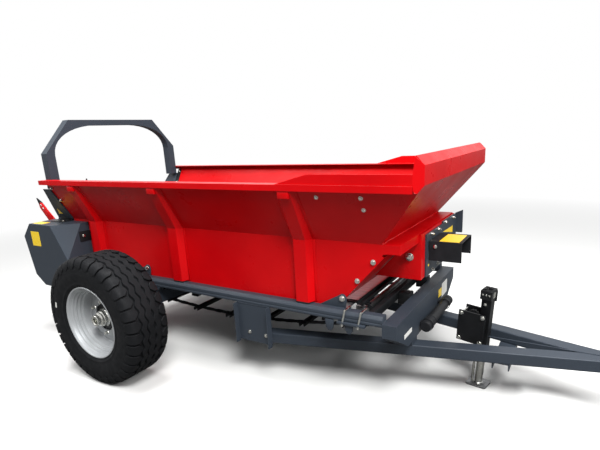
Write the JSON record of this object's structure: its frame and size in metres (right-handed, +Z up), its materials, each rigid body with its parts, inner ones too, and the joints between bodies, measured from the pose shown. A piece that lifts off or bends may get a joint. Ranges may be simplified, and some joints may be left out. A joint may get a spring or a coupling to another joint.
{
  "type": "manure spreader",
  "caption": "Single-axle towed manure spreader with flared hopper, floor conveyor, rear beater, guard arch, A-frame drawbar and parking jack.",
  "frame": {"origin": "on the ground, under the middle of the machine's whole length and width", "axes": "+X forward towards the tow eye, +Y to the machine's left, +Z up"},
  "size_m": [4.1408, 1.902, 1.51],
  "materials": {
    "red_paint": "gloss powder coat",
    "grey_paint": "satin powder coat, dark blue-grey",
    "black_paint": "satin black paint",
    "black_plastic": "moulded black polyethylene",
    "tyre_rubber": "new implement tyre",
    "silver_paint": "silver wheel paint",
    "zinc_steel": "bright zinc plate",
    "bare_steel": "bare worn steel",
    "yellow_label": "blank yellow label",
    "white_label": "blank white label"
  },
  "bodies": {
    "chassis": {"hopper_side_left": "red_paint", "hopper_side_right": "red_paint", "hopper_front": "red_paint", "hopper_upstand_left": "red_paint", "hopper_upstand_right": "red_paint", "hopper_front_wall": "red_paint", "front_shelf": "red_paint", "gearbox_housing": "red_paint", "chassis_rail_left": "grey_paint", "chassis_rail_right": "grey_paint", "front_beam": "grey_paint", "drawbar_hanger_left": "grey_paint", "drawbar_hanger_right": "grey_paint", "drawbar_left": "grey_paint", "drawbar_right": "grey_paint", "drawbar_cross_plate": "grey_paint", "axle": "grey_paint", "rear_arch": "grey_paint", "rear_side_plate_left": "grey_paint", "rear_side_plate_right": "grey_paint", "side_guard_left": "grey_paint", "side_guard_right": "grey_paint", "drive_plate": "grey_paint", "floor_frame": "black_paint", "conveyor": "black_paint", "jack_mount": "black_paint", "jack_tube": "black_paint", "gearbox": "black_paint", "pto_guard": "black_paint", "document_tube": "black_plastic", "hopper_floor": "bare_steel", "conveyor_rear_shaft": "bare_steel", "conveyor_front_shaft": "bare_steel", "tow_eye": "bare_steel"},
    "wheel_left": {"tyre_left": "tyre_rubber", "rim_left": "silver_paint", "hub_left": "silver_paint"},
    "wheel_right": {"tyre_right": "tyre_rubber", "rim_right": "silver_paint", "hub_right": "silver_paint"},
    "beater": {"beater": "red_paint"},
    "pto_stub": {"pto_stub": "bare_steel"},
    "jack_leg": {"jack_leg": "zinc_steel"}
  },
  "joints": [
    {"name": "wheel_left_spin", "type": "hinge", "parent": "chassis", "child": "wheel_left", "pos_m": [-0.7056, 0.82, 0.376], "axis": [0, 1, 0], "continuous": true},
    {"name": "wheel_right_spin", "type": "hinge", "parent": "chassis", "child": "wheel_right", "pos_m": [-0.7056, -0.82, 0.376], "axis": [0, 1, 0], "continuous": true},
    {"name": "beater_spin", "type": "hinge", "parent": "chassis", "child": "beater", "pos_m": [-1.6806, 0, 0.7], "axis": [0, 1, 0], "continuous": true},
    {"name": "pto_spin", "type": "hinge", "parent": "chassis", "child": "pto_stub", "pos_m": [0.9944, 0, 0.735], "axis": [1, 0, 0], "continuous": true},
    {"name": "jack_slide", "type": "slide", "parent": "chassis", "child": "jack_leg", "axis": [0.0618, -0.0113, 0.998], "range_m": [0, 0.17]}
  ],
  "couplings": [
    {"joint": "pto_spin", "follows": "beater_spin", "ratio": 1.5}
  ]
}
